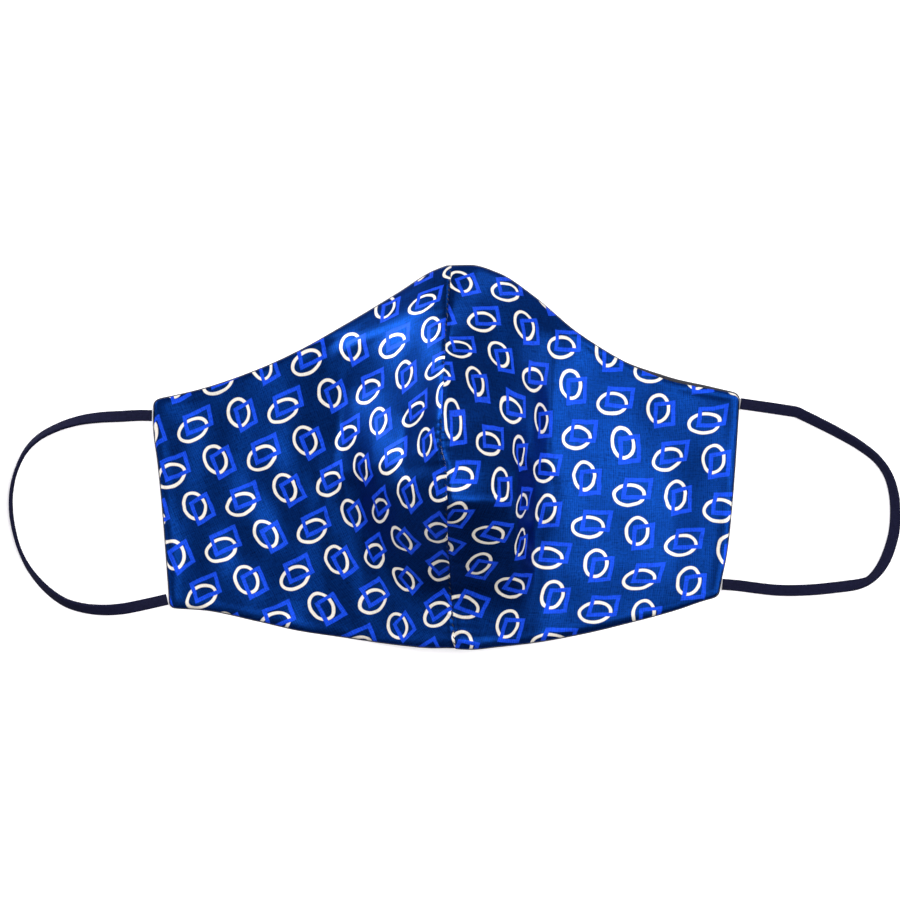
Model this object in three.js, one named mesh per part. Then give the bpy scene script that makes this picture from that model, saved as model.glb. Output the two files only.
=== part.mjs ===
// Cloth face mask of two shaped panels sewn down the middle, lying outer side up.
// Millimetres, +Z up. The underside of the flat wings lies on z = 0, and the origin is under
// the middle of the mask. +Y points to the nose, +X to the panel on the right of the seam.

import * as THREE from "three";

// Overall sizes of the mask as it lies.
const bodyWidth = 220;
const bodyHeight = 143;
const ridgeHeight = 46;
const domeReach = 48;
const cornerRadius = 2.4;

// Cloth layers, and the clearance that separate pieces keep.
const outerWall = 1;
const liningWall = 1;
const pieceGap = 0.3;
const liningPeek = 0.4;
const liningRoll = 0.9;
const loopGap = 0.45;

// Flat elastic of the ear loops.
const bandWidth = 4.2;
const bandThickness = 1.5;

// How finely the surfaces are divided.
const domeColumns = 12;
const wingColumns = 4;
const rows = 20;
const bandSteps = 70;
const cornerStrip = 0.3;

const halfWidth = bodyWidth / 2;
const halfHeight = bodyHeight / 2;

// A wall on a slope is thicker when measured straight up, up to this many times.
const steepestLift = 3;

// Top and bottom hems: shares of halfHeight above the middle, at shares of halfWidth from it.
const hems = {
  left: [
    { out: 0.0, top: 0.995, bottom: -0.99 },
    { out: 0.05, top: 0.965, bottom: -0.992 },
    { out: 0.16, top: 0.86, bottom: -0.98 },
    { out: 0.36, top: 0.677, bottom: -0.939 },
    { out: 0.5, top: 0.556, bottom: -0.907 },
    { out: 0.64, top: 0.457, bottom: -0.858 },
    { out: 0.84, top: 0.351, bottom: -0.797 },
    { out: 1.0, top: 0.295, bottom: -0.785 },
  ],
  right: [
    { out: 0.0, top: 0.995, bottom: -0.99 },
    { out: 0.08, top: 0.998, bottom: -0.998 },
    { out: 0.18, top: 0.955, bottom: -0.985 },
    { out: 0.3, top: 0.835, bottom: -0.967 },
    { out: 0.45, top: 0.645, bottom: -0.928 },
    { out: 0.64, top: 0.472, bottom: -0.859 },
    { out: 0.78, top: 0.393, bottom: -0.8 },
    { out: 0.88, top: 0.362, bottom: -0.748 },
    { out: 1.0, top: 0.328, bottom: -0.7 },
  ],
};

// Centre seam and side hems: shares of halfWidth, at shares of the way up from the bottom hem.
const seamLine = [
  { up: 0.0, along: 0.03 },
  { up: 0.1, along: 0.02 },
  { up: 0.3, along: 0.004 },
  { up: 0.47, along: 0.0 },
  { up: 0.53, along: -0.017 },
  { up: 0.7, along: -0.009 },
  { up: 0.87, along: 0.004 },
  { up: 1.0, along: 0.017 },
];
const sideHems = {
  left: [
    { up: 0.0, out: 0.942 },
    { up: 0.2, out: 0.952 },
    { up: 0.45, out: 0.965 },
    { up: 0.7, out: 0.981 },
    { up: 0.9, out: 0.996 },
    { up: 1.0, out: 0.996 },
  ],
  right: [
    { up: 0.0, out: 0.928 },
    { up: 0.2, out: 0.955 },
    { up: 0.45, out: 0.972 },
    { up: 0.7, out: 0.984 },
    { up: 0.9, out: 0.992 },
    { up: 1.0, out: 0.996 },
  ],
};

// Cross-sections of the inner face, one row for each share of the way up. The columns go out
// from the seam at these shares of domeReach and hold shares of ridgeHeight.
const stations = {
  seam: 0,
  top: 1 / 6,
  high: 2 / 6,
  mid: 3 / 6,
  low: 4 / 6,
  foot: 5 / 6,
  toe: 1,
  wing: 1.3,
  flat: 1.75,
  rim: 2.1,
};
const sections = {
  left: [
    { up: 0.0, seam: 0.26, top: 0.2, high: 0.13, mid: 0.07, low: 0.03, foot: 0.01, toe: 0, wing: 0 },
    { up: 0.15, seam: 0.35, top: 0.3, high: 0.22, mid: 0.13, low: 0.06, foot: 0.03, toe: 0, wing: 0 },
    { up: 0.25, seam: 0.62, top: 0.5, high: 0.36, mid: 0.2, low: 0.08, foot: 0.03, toe: 0.01, wing: 0 },
    { up: 0.35, seam: 0.9, top: 0.75, high: 0.57, mid: 0.31, low: 0.1, foot: 0.04, toe: 0.01, wing: 0 },
    { up: 0.4, seam: 0.99, top: 0.83, high: 0.64, mid: 0.39, low: 0.14, foot: 0.05, toe: 0.01, wing: 0 },
    { up: 0.45, seam: 1, top: 0.86, high: 0.68, mid: 0.47, low: 0.18, foot: 0.06, toe: 0.01, wing: 0 },
    { up: 0.6, seam: 0.98, top: 0.75, high: 0.58, mid: 0.41, low: 0.21, foot: 0.06, toe: 0.01, wing: 0 },
    { up: 0.75, seam: 0.77, top: 0.62, high: 0.46, mid: 0.31, low: 0.17, foot: 0.05, toe: 0.01, wing: 0 },
    { up: 0.9, seam: 0.45, top: 0.39, high: 0.33, mid: 0.25, low: 0.17, foot: 0.09, toe: 0.03, wing: 0 },
    { up: 1.0, seam: 0.17, top: 0.12, high: 0.07, mid: 0.03, low: 0.01, foot: 0, toe: 0, wing: 0 },
  ],
  right: [
    { up: 0.0, seam: 0.26, top: 0.25, high: 0.21, mid: 0.14, low: 0.07, foot: 0.03, toe: 0.01, wing: 0 },
    { up: 0.15, seam: 0.35, top: 0.36, high: 0.33, mid: 0.25, low: 0.13, foot: 0.08, toe: 0.06, wing: 0.03 },
    { up: 0.25, seam: 0.62, top: 0.63, high: 0.6, mid: 0.47, low: 0.18, foot: 0.11, toe: 0.08, wing: 0.05 },
    { up: 0.35, seam: 0.9, top: 0.88, high: 0.83, mid: 0.66, low: 0.23, foot: 0.14, toe: 0.1, wing: 0.06 },
    { up: 0.4, seam: 0.99, top: 0.95, high: 0.87, mid: 0.69, low: 0.27, foot: 0.15, toe: 0.1, wing: 0.06 },
    { up: 0.45, seam: 1, top: 0.94, high: 0.85, mid: 0.67, low: 0.31, foot: 0.15, toe: 0.1, wing: 0.06 },
    { up: 0.6, seam: 0.98, top: 0.83, high: 0.67, mid: 0.53, low: 0.33, foot: 0.12, toe: 0.09, wing: 0.05 },
    { up: 0.75, seam: 0.77, top: 0.63, high: 0.49, mid: 0.4, low: 0.25, foot: 0.08, toe: 0.05, wing: 0.03 },
    { up: 0.9, seam: 0.45, top: 0.4, high: 0.33, mid: 0.26, low: 0.19, foot: 0.09, toe: 0.03, wing: 0.01 },
    { up: 1.0, seam: 0.17, top: 0.16, high: 0.13, mid: 0.09, low: 0.05, foot: 0.02, toe: 0, wing: 0 },
  ],
};

// The lining rolls over the top hem of the right panel: the share of liningRoll that shows.
const liningRolls = {
  left: [
    { out: 0.0, share: 0 },
    { out: 1.0, share: 0 },
  ],
  right: [
    { out: 0.0, share: 0 },
    { out: 0.6, share: 0 },
    { out: 0.74, share: 1 },
    { out: 0.86, share: 0.8 },
    { out: 1.0, share: 0 },
  ],
};

// Ear loops between the side hems: x, y and the roll of the flat elastic in degrees.
const loopRoutes = {
  left: [
    [-115, 15.6, 4],
    [-122.4, 15.2, 12],
    [-129.9, 14.8, 25],
    [-137.4, 13.7, 42],
    [-144.9, 11.4, 55],
    [-152.4, 7.5, 66],
    [-157.5, 2.4, 76],
    [-161.1, -4.9, 84],
    [-162.9, -12.4, 88],
    [-163.1, -19.9, 90],
    [-162, -27.4, 88],
    [-159.6, -35.4, 82],
    [-155.6, -42.8, 72],
    [-149.4, -49.8, 60],
    [-142.8, -54.4, 50],
    [-136.2, -56.5, 40],
    [-128.8, -57.3, 26],
    [-121.6, -56.9, 14],
    [-114.2, -55.5, 5],
  ],
  right: [
    [115.2, 19.3, 4],
    [121.4, 18.4, 8],
    [127.2, 17.5, 14],
    [131.2, 16.8, 20],
    [133.6, 15.7, 26],
    [140.1, 12.5, 30],
    [147.6, 8.6, 36],
    [155.1, 4.1, 46],
    [161.6, -1.2, 56],
    [165.6, -7.2, 54],
    [167.6, -14.2, 44],
    [168.1, -21.4, 38],
    [167.6, -28.4, 28],
    [165.6, -35.6, 24],
    [163.5, -40.1, 36],
    [161.0, -43.6, 50],
    [158.1, -46.2, 58],
    [154.4, -47.6, 36],
    [150.4, -48.3, 12],
    [146.4, -48.8, 8],
    [139, -49.6, 6],
    [131.4, -50, 5],
    [123.8, -49.9, 4],
    [116.2, -49.1, 4],
    [109.4, -48.2, 3],
  ],
};

// Where each loop meets its side hem: shares of halfHeight above the middle.
const loopEnds = {
  left: { top: 0.217, bottom: -0.746 },
  right: { top: 0.28, bottom: -0.667 },
};

const directions = { left: -1, right: 1 };

// Smooth curve through stations in rising order that never overshoots them.
function curve(places, values) {
  const steps = places.slice(1).map((place, i) => place - places[i]);
  const slopes = steps.map((step, i) => (values[i + 1] - values[i]) / step);
  const tangents = places.map((_, i) => {
    if (i === 0) {
      return slopes[0];
    }
    if (i === steps.length) {
      return slopes[i - 1];
    }
    if (slopes[i - 1] * slopes[i] <= 0) {
      return 0;
    }
    const before = 2 * steps[i] + steps[i - 1];
    const after = steps[i] + 2 * steps[i - 1];
    return (before + after) / (before / slopes[i - 1] + after / slopes[i]);
  });
  return (at) => {
    const place = Math.min(Math.max(at, places[0]), places[places.length - 1]);
    const next = places.findIndex((start, i) => i > 0 && place <= start);
    const i = Math.max(next, 1) - 1;
    const t = (place - places[i]) / steps[i];
    const startValue = (1 + 2 * t) * (1 - t) * (1 - t) * values[i];
    const endValue = t * t * (3 - 2 * t) * values[i + 1];
    const startPull = t * (1 - t) * (1 - t) * steps[i] * tangents[i];
    const endPull = t * t * (t - 1) * steps[i] * tangents[i + 1];
    return startValue + endValue + startPull + endPull;
  };
}

function column(table, place, value) {
  return curve(
    table.map((row) => row[place]),
    table.map((row) => row[value] ?? 0),
  );
}

// The inner face of one panel: its outline and its height above the table.
function panelShape(side) {
  const direction = directions[side];
  const top = column(hems[side], "out", "top");
  const bottom = column(hems[side], "out", "bottom");
  const seam = column(seamLine, "up", "along");
  const hem = column(sideHems[side], "up", "out");
  const names = Object.keys(stations);
  const heights = names.map((name) => column(sections[side], "up", name));

  const seamX = (up) => halfWidth * seam(up) + (direction * pieceGap) / 2;
  const hemX = (up) => direction * halfWidth * hem(up);
  const width = (up) => Math.abs(hemX(up) - seamX(up));

  // The point at a distance out from the seam and a share of the way up.
  function point(distance, up) {
    const x = seamX(up) + direction * distance;
    const out = Math.max(x * direction, 0) / halfWidth;
    const inset = Math.max(cornerRadius - (width(up) - distance), 0);
    const rounding = cornerRadius - Math.sqrt(cornerRadius * cornerRadius - inset * inset);
    const high = halfHeight * top(out) - rounding;
    const low = halfHeight * bottom(out) + rounding;
    const section = curve(Object.values(stations), heights.map((height) => height(up)));
    return new THREE.Vector3(x, low + (high - low) * up, ridgeHeight * section(distance / domeReach));
  }

  return { direction, width, hemX, point };
}

// Distances out from the seam at which a panel is divided: closely over the dome, then
// across the wing, and twice in the rounded corner of the side hem.
function divisions(width) {
  const dome = Array.from({ length: domeColumns }, (_, i) => (domeReach * i) / domeColumns);
  const wingEnd = width - cornerRadius;
  const wing = Array.from(
    { length: wingColumns },
    (_, i) => domeReach + ((wingEnd - domeReach) * i) / wingColumns,
  );
  return [...dome, ...wing, wingEnd, width - cornerRadius * cornerStrip, width];
}

// Points of the inner face in columns out from the seam, with how much thicker than its wall
// the cloth measures straight up at each.
function panelGrid(side) {
  const shape = panelShape(side);
  const heights = Array.from({ length: rows + 1 }, (_, j) => j / rows);
  const byRow = heights.map((up) => divisions(shape.width(up)).map((d) => shape.point(d, up)));
  const points = byRow[0].map((_, i) => byRow.map((row) => row[i]));
  const last = points.length - 1;
  const lifts = points.map((line, i) =>
    line.map((_, j) => {
      const across = points[Math.min(i + 1, last)][j].clone().sub(points[Math.max(i - 1, 0)][j]);
      const upward = line[Math.min(j + 1, rows)].clone().sub(line[Math.max(j - 1, 0)]);
      const normal = across.cross(upward).normalize();
      return Math.min(1 / Math.max(Math.abs(normal.z), 1 / steepestLift), steepestLift);
    }),
  );
  return { direction: shape.direction, points, lifts };
}

// The same grid with one more strip along the top, side and bottom hems, where the lining
// shows past the outer cloth.
function withPeek(side, grid) {
  const roll = column(liningRolls[side], "out", "share");
  const { direction } = grid;
  const stretched = grid.points.map((line) => {
    const topRoll = liningRoll * roll(Math.abs(line[rows].x) / halfWidth);
    const top = line[rows].clone().add(new THREE.Vector3(0, liningPeek + topRoll, 0));
    const bottom = line[0].clone().add(new THREE.Vector3(0, -liningPeek, 0));
    return [bottom, ...line, top];
  });
  const sideLine = stretched[stretched.length - 1].map((point) =>
    point.clone().add(new THREE.Vector3(direction * liningPeek, 0, 0)),
  );
  const lifts = grid.lifts.map((line) => [line[0], ...line, line[rows]]);
  return {
    direction,
    points: [...stretched, sideLine],
    lifts: [...lifts, lifts[lifts.length - 1]],
  };
}

function closedGeometry(positions, triangles) {
  const geometry = new THREE.BufferGeometry();
  geometry.setAttribute("position", new THREE.Float32BufferAttribute(positions, 3));
  geometry.setIndex(triangles);
  geometry.computeVertexNormals();
  return geometry;
}

// A wall over a grid of points, from one height above the inner face to another.
function wallGeometry({ direction, points, lifts }, low, high) {
  const across = points.length;
  const upward = points[0].length;
  const layer = across * upward;
  const positions = [];
  for (const level of [low, high]) {
    points.forEach((line, i) =>
      line.forEach((p, j) => positions.push(p.x, p.y, p.z + level * lifts[i][j])),
    );
  }
  const at = (i, j, level) => level * layer + i * upward + j;
  const triangles = [];
  const quad = (a, b, c, d) => {
    const order = direction > 0 ? [a, b, c, a, c, d] : [a, c, b, a, d, c];
    triangles.push(...order);
  };
  for (let i = 0; i < across - 1; i += 1) {
    for (let j = 0; j < upward - 1; j += 1) {
      quad(at(i, j, 1), at(i + 1, j, 1), at(i + 1, j + 1, 1), at(i, j + 1, 1));
      quad(at(i, j, 0), at(i, j + 1, 0), at(i + 1, j + 1, 0), at(i + 1, j, 0));
    }
  }
  const rim = [];
  for (let i = 0; i < across - 1; i += 1) {
    rim.push([i, 0]);
  }
  for (let j = 0; j < upward - 1; j += 1) {
    rim.push([across - 1, j]);
  }
  for (let i = across - 1; i > 0; i -= 1) {
    rim.push([i, upward - 1]);
  }
  for (let j = upward - 1; j > 0; j -= 1) {
    rim.push([0, j]);
  }
  rim.forEach(([i, j], k) => {
    const [nextI, nextJ] = rim[(k + 1) % rim.length];
    quad(at(i, j, 0), at(nextI, nextJ, 0), at(nextI, nextJ, 1), at(i, j, 1));
  });
  return closedGeometry(positions, triangles);
}

// Section of the flat elastic, with its corners taken off.
function bandSection() {
  const w = bandWidth / 2;
  const t = bandThickness / 2;
  const cut = bandThickness / 4;
  return [
    [w, t - cut],
    [w - cut, t],
    [cut - w, t],
    [-w, t - cut],
    [-w, cut - t],
    [cut - w, -t],
    [w - cut, -t],
    [w, cut - t],
  ];
}

// The elastic of one loop, from just outside its side hem and back, lying on the table.
function bandGeometry(side) {
  const { direction, hemX } = panelShape(side);
  const ends = loopEnds[side];
  const hemMiddle = (liningWall + pieceGap + outerWall) / 2;
  const route = loopRoutes[side].map(([x, y, roll]) => {
    const angle = THREE.MathUtils.degToRad(roll);
    const rest = (bandWidth / 2) * Math.sin(angle) + (bandThickness / 2) * Math.cos(angle);
    return { place: new THREE.Vector3(x, y, rest), angle };
  });
  const endPoint = (share) => {
    const y = halfHeight * share;
    const top = halfHeight * hems[side][hems[side].length - 1].top;
    const bottom = halfHeight * hems[side][hems[side].length - 1].bottom;
    const x = hemX((y - bottom) / (top - bottom)) + direction * (liningPeek + loopGap);
    return { place: new THREE.Vector3(x, y, hemMiddle), angle: 0 };
  };
  const stops = [endPoint(ends.top), ...route, endPoint(ends.bottom)];
  const path = new THREE.CatmullRomCurve3(stops.map((stop) => stop.place), false, "centripetal");
  const section = bandSection();
  const positions = [];
  for (let k = 0; k <= bandSteps; k += 1) {
    const t = k / bandSteps;
    const place = path.getPoint(t);
    const along = path.getTangent(t);
    const level = new THREE.Vector3(0, 0, 1).cross(along).normalize();
    const upright = along.clone().cross(level).normalize();
    const span = t * (stops.length - 1);
    const i = Math.min(Math.floor(span), stops.length - 2);
    const angle = THREE.MathUtils.lerp(stops[i].angle, stops[i + 1].angle, span - i);
    const wide = level.clone().multiplyScalar(Math.cos(angle)).addScaledVector(upright, Math.sin(angle));
    const thick = level.clone().multiplyScalar(-Math.sin(angle)).addScaledVector(upright, Math.cos(angle));
    for (const [w, h] of section) {
      const corner = place.clone().addScaledVector(wide, w).addScaledVector(thick, h);
      positions.push(corner.x, corner.y, Math.max(corner.z, 0));
    }
  }
  const sides = section.length;
  const triangles = [];
  for (let k = 0; k < bandSteps; k += 1) {
    for (let s = 0; s < sides; s += 1) {
      const a = k * sides + s;
      const b = k * sides + ((s + 1) % sides);
      triangles.push(a, b, b + sides, a, b + sides, a + sides);
    }
  }
  const end = bandSteps * sides;
  for (let s = 1; s < sides - 1; s += 1) {
    triangles.push(0, s + 1, s, end, end + s, end + s + 1);
  }
  return closedGeometry(positions, triangles);
}

const satin = new THREE.MeshStandardMaterial({ color: 0x0d3f85, roughness: 0.42, metalness: 0 });
const liningCloth = new THREE.MeshStandardMaterial({ color: 0x14141f, roughness: 0.9, metalness: 0 });
const elastic = new THREE.MeshStandardMaterial({ color: 0x1c1d2e, roughness: 0.8, metalness: 0 });

const mask = new THREE.Group();

function addPiece(name, geometry, material) {
  const piece = new THREE.Mesh(geometry, material);
  piece.name = name;
  mask.add(piece);
}

for (const side of ["left", "right"]) {
  const grid = panelGrid(side);
  const outerStart = liningWall + pieceGap;
  addPiece(`outer_${side}`, wallGeometry(grid, outerStart, outerStart + outerWall), satin);
  addPiece(`lining_${side}`, wallGeometry(withPeek(side, grid), 0, liningWall), liningCloth);
  addPiece(`ear_loop_${side}`, bandGeometry(side), elastic);
}

export default mask;
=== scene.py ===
"""Looks of a two-panel cloth face mask, laid out as an add-on and run as a script."""

import math

import bpy
import numpy as np
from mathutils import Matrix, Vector
from mathutils.bvhtree import BVHTree


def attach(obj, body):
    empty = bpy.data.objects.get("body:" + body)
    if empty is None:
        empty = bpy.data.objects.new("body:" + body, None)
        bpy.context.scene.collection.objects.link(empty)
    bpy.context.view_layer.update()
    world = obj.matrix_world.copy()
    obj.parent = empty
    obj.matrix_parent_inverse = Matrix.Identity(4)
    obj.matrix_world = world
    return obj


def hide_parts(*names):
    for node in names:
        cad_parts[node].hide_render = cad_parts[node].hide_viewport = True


bl_info = {
    "name": "Cloth face mask",
    "version": (1, 0, 0),
    "blender": (4, 5, 0),
    "location": "View3D > Sidebar > Face mask",
    "description": "Satin panels with a printed repeat, a dark lining, a sewn seam "
    "and elastic ear loops",
    "category": "Object",
}

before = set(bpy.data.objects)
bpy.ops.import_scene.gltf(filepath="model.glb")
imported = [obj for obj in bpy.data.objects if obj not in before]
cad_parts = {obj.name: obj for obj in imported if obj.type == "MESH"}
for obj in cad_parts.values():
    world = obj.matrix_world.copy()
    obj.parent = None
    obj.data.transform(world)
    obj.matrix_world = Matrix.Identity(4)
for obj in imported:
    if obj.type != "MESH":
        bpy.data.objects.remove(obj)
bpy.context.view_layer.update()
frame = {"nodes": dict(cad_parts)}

MM = 0.001
SIDES = ("left", "right")
DIRECTION = {"left": -1, "right": 1}

# Sizes of the solids, in metres, that the cloth follows.
BODY_WIDTH = 0.220
BODY_HEIGHT = 0.143
RIDGE_HEIGHT = 0.046
DOME_REACH = 0.048
CORNER_RADIUS = 0.0024
OUTER_WALL = 0.001
LINING_WALL = 0.001
PIECE_GAP = 0.0003
LINING_PEEK = 0.0004
LINING_ROLL = 0.0009
BAND_WIDTH = 0.0042
BAND_THICKNESS = 0.0015
HALF_WIDTH = BODY_WIDTH / 2
HALF_HEIGHT = BODY_HEIGHT / 2
LOOP_GAP = LINING_PEEK + 1.5 * PIECE_GAP

# How many times its own thickness a wall is lifted at most, where it stands steeply.
STEEPEST_LIFT = 3

# Width beside the seam over which the sewn cloth closes the gap between the solids.
SEAM_CLOSING = 0.002

# The fine grid has closer lines in a band along each edge, at these shares of the band. Its
# rows are spaced for panels of the given mean height.
EDGE_BAND = 0.0016
EDGE_SHARES = (0.0, 0.1, 0.25, 0.45, 0.7, 1.0)
MEAN_HEIGHT = BODY_HEIGHT * 0.8

# Height over which a fold fades in above the flat wing, and the roundness of its crest.
FOLD_FADE = 0.004
FOLD_ROUND = 0.35

# Relief of the sewn cloth, in metres: the ridge behind a turned hem, the seam's crease, the
# gathers beside it, and soft wrinkles that keep away from the hems. The least wall is what
# the satin keeps where its relief is deepest.
HEM_RIDGE = 0.00025
HEM_RIDGE_PLACE = 0.0022
HEM_RIDGE_WIDTH = 0.0012
GROOVE_WIDTH = 0.0009
GATHER_PITCH = 0.0031
GATHER_REACH = 0.0045
GATHER_BEND = 2.2
WRINKLE_HEIGHT = 0.00028
CALM_REACH = 0.004
LEAST_WALL = 0.00005

# Random reliefs: wavelength across and up the mask in metres, and the seed. Each is a sum
# of this many waves, whose frequencies vary in the range.
GATHER_BENDS = (0.05, 0.03, 3)
GATHER_SIZES = (0.03, 0.02, 5)
WRINKLES = (0.022, 0.034, 11)
WAVES = 7
WAVE_RANGE = (0.6, 1.6)

# Shares of the hem's rounding that the lining takes above and below, and the width along
# the hems over which it is drawn out.
LINING_ROUNDS = (0.5, 0.45)
LINING_DRAW = 0.004

# Flattening: rows and columns of its grid, where the flat wing starts as a share of the
# dome's reach, how often it is repeated, and the range of its weights.
UNROLL_ROWS = 38
UNROLL_DOME_COLUMNS = 26
UNROLL_WING_COLUMNS = 6
UNROLL_WING_START = 1.3
UNROLL_ROUNDS = 60
UNROLL_WEIGHTS = (0.02, 20)

# Elastic: lengthwise steps, points and ribs of its section, how square the section's ends
# are, and the depth of a rib as a share of the thickness.
LOOP_STEPS = 420
SPLINE_STEPS = 24
SECTION_POINTS = 32
SECTION_RIBS = 7
SECTION_POWER = 0.42
RIB_DEPTH = 0.07

# Stitches: where the satin is sought beside the seam, the share of that at which they
# stand, how far they rise as a share of the thread, the grid rows that they follow, the
# segments and rings of their sphere, and their slant in radians with its seed.
STITCH_INSET = 0.0007
STITCH_PLACE = 0.6
STITCH_RISE = 0.1
STITCH_ROWS = slice(4, -4, 2)
STITCH_DIVISIONS = (8, 6)
STITCH_SLANT = (0.35, 0.75)
STITCH_SEED = 4

# The photograph's scale, and the pixel that lies over the origin.
PIXEL = 0.000375
ORIGIN_PIXEL = (446.5, 457.0)
PHOTO_SIDE = 900

# Top and bottom hems: shares of half the height, at shares of half the width from the middle.
HEMS = {
    "left": {
        "out": (0.0, 0.05, 0.16, 0.36, 0.5, 0.64, 0.84, 1.0),
        "top": (0.995, 0.965, 0.86, 0.677, 0.556, 0.457, 0.351, 0.295),
        "bottom": (-0.99, -0.992, -0.98, -0.939, -0.907, -0.858, -0.797, -0.785),
    },
    "right": {
        "out": (0.0, 0.08, 0.18, 0.3, 0.45, 0.64, 0.78, 0.88, 1.0),
        "top": (0.995, 0.998, 0.955, 0.835, 0.645, 0.472, 0.393, 0.362, 0.328),
        "bottom": (-0.99, -0.998, -0.985, -0.967, -0.928, -0.859, -0.8, -0.748, -0.7),
    },
}

# Centre seam and side hems: shares of half the width, at shares of the way up.
SEAM_LINE = {
    "up": (0.0, 0.1, 0.3, 0.47, 0.53, 0.7, 0.87, 1.0),
    "along": (0.03, 0.02, 0.004, 0.0, -0.017, -0.009, 0.004, 0.017),
}
SIDE_HEMS = {
    "up": (0, 0.2, 0.45, 0.7, 0.9, 1),
    "left": (0.942, 0.952, 0.965, 0.981, 0.996, 0.996),
    "right": (0.928, 0.955, 0.972, 0.984, 0.992, 0.996),
}

# Cross-sections of the inner face. Each row is a share of the way up, then shares of the
# ridge height at the stations, which are shares of the dome's reach out from the seam.
STATIONS = (0, 1 / 6, 2 / 6, 3 / 6, 4 / 6, 5 / 6, 1, 1.3, 1.75)
SECTIONS = {
    "left": (
        (0.0, (0.26, 0.2, 0.13, 0.07, 0.03, 0.01, 0, 0, 0)),
        (0.15, (0.35, 0.3, 0.22, 0.13, 0.06, 0.03, 0, 0, 0)),
        (0.25, (0.62, 0.5, 0.36, 0.2, 0.08, 0.03, 0.01, 0, 0)),
        (0.35, (0.9, 0.75, 0.57, 0.31, 0.1, 0.04, 0.01, 0, 0)),
        (0.4, (0.99, 0.83, 0.64, 0.39, 0.14, 0.05, 0.01, 0, 0)),
        (0.45, (1, 0.86, 0.68, 0.47, 0.18, 0.06, 0.01, 0, 0)),
        (0.6, (0.98, 0.75, 0.58, 0.41, 0.21, 0.06, 0.01, 0, 0)),
        (0.75, (0.77, 0.62, 0.46, 0.31, 0.17, 0.05, 0.01, 0, 0)),
        (0.9, (0.45, 0.39, 0.33, 0.25, 0.17, 0.09, 0.03, 0, 0)),
        (1.0, (0.17, 0.12, 0.07, 0.03, 0.01, 0, 0, 0, 0)),
    ),
    "right": (
        (0.0, (0.26, 0.25, 0.21, 0.14, 0.07, 0.03, 0.01, 0, 0)),
        (0.15, (0.35, 0.36, 0.33, 0.25, 0.13, 0.08, 0.06, 0.03, 0)),
        (0.25, (0.62, 0.63, 0.6, 0.47, 0.18, 0.11, 0.08, 0.05, 0)),
        (0.35, (0.9, 0.88, 0.83, 0.66, 0.23, 0.14, 0.1, 0.06, 0)),
        (0.4, (0.99, 0.95, 0.87, 0.69, 0.27, 0.15, 0.1, 0.06, 0)),
        (0.45, (1, 0.94, 0.85, 0.67, 0.31, 0.15, 0.1, 0.06, 0)),
        (0.6, (0.98, 0.83, 0.67, 0.53, 0.33, 0.12, 0.09, 0.05, 0)),
        (0.75, (0.77, 0.63, 0.49, 0.4, 0.25, 0.08, 0.05, 0.03, 0)),
        (0.9, (0.45, 0.4, 0.33, 0.26, 0.19, 0.09, 0.03, 0.01, 0)),
        (1.0, (0.17, 0.16, 0.13, 0.09, 0.05, 0.02, 0, 0, 0)),
    ),
}

# How much of its roll the lining shows over the top hem.
LINING_ROLLS = {
    "left": {"out": (0.0, 1.0), "share": (0.0, 0.0)},
    "right": {"out": (0.0, 0.6, 0.74, 0.86, 1.0), "share": (0.0, 0.0, 1.0, 0.8, 0.0)},
}

# Ear loops between the side hems: x and y in millimetres and the elastic's roll in degrees.
# Their ends are shares of half the height.
LOOP_ROUTES = {
    "left": (
        (-115, 15.6, 4), (-122.4, 15.2, 12), (-129.9, 14.8, 25), (-137.4, 13.7, 42),
        (-144.9, 11.4, 55), (-152.4, 7.5, 66), (-157.5, 2.4, 76), (-161.1, -4.9, 84),
        (-162.9, -12.4, 88), (-163.1, -19.9, 90), (-162, -27.4, 88), (-159.6, -35.4, 82),
        (-155.6, -42.8, 72), (-149.4, -49.8, 60), (-142.8, -54.4, 50), (-136.2, -56.5, 40),
        (-128.8, -57.3, 26), (-121.6, -56.9, 14), (-114.2, -55.5, 5),
    ),
    "right": (
        (115.2, 19.3, 4), (121.4, 18.4, 8), (127.2, 17.5, 14), (131.2, 16.8, 20),
        (133.6, 15.7, 26), (140.1, 12.5, 30), (147.6, 8.6, 36), (155.1, 4.1, 46),
        (161.6, -1.2, 56), (165.6, -7.2, 54), (167.6, -14.2, 44), (168.1, -21.4, 38),
        (167.6, -28.4, 28), (165.6, -35.6, 24), (163.5, -40.1, 36), (161.0, -43.6, 50),
        (158.1, -46.2, 58), (154.4, -47.6, 36), (150.4, -48.3, 12), (146.4, -48.8, 8),
        (139, -49.6, 6), (131.4, -50, 5), (123.8, -49.9, 4), (116.2, -49.1, 4),
        (109.4, -48.2, 3),
    ),
}
LOOP_ENDS = {"left": (0.217, -0.746), "right": (0.28, -0.667)}

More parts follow.
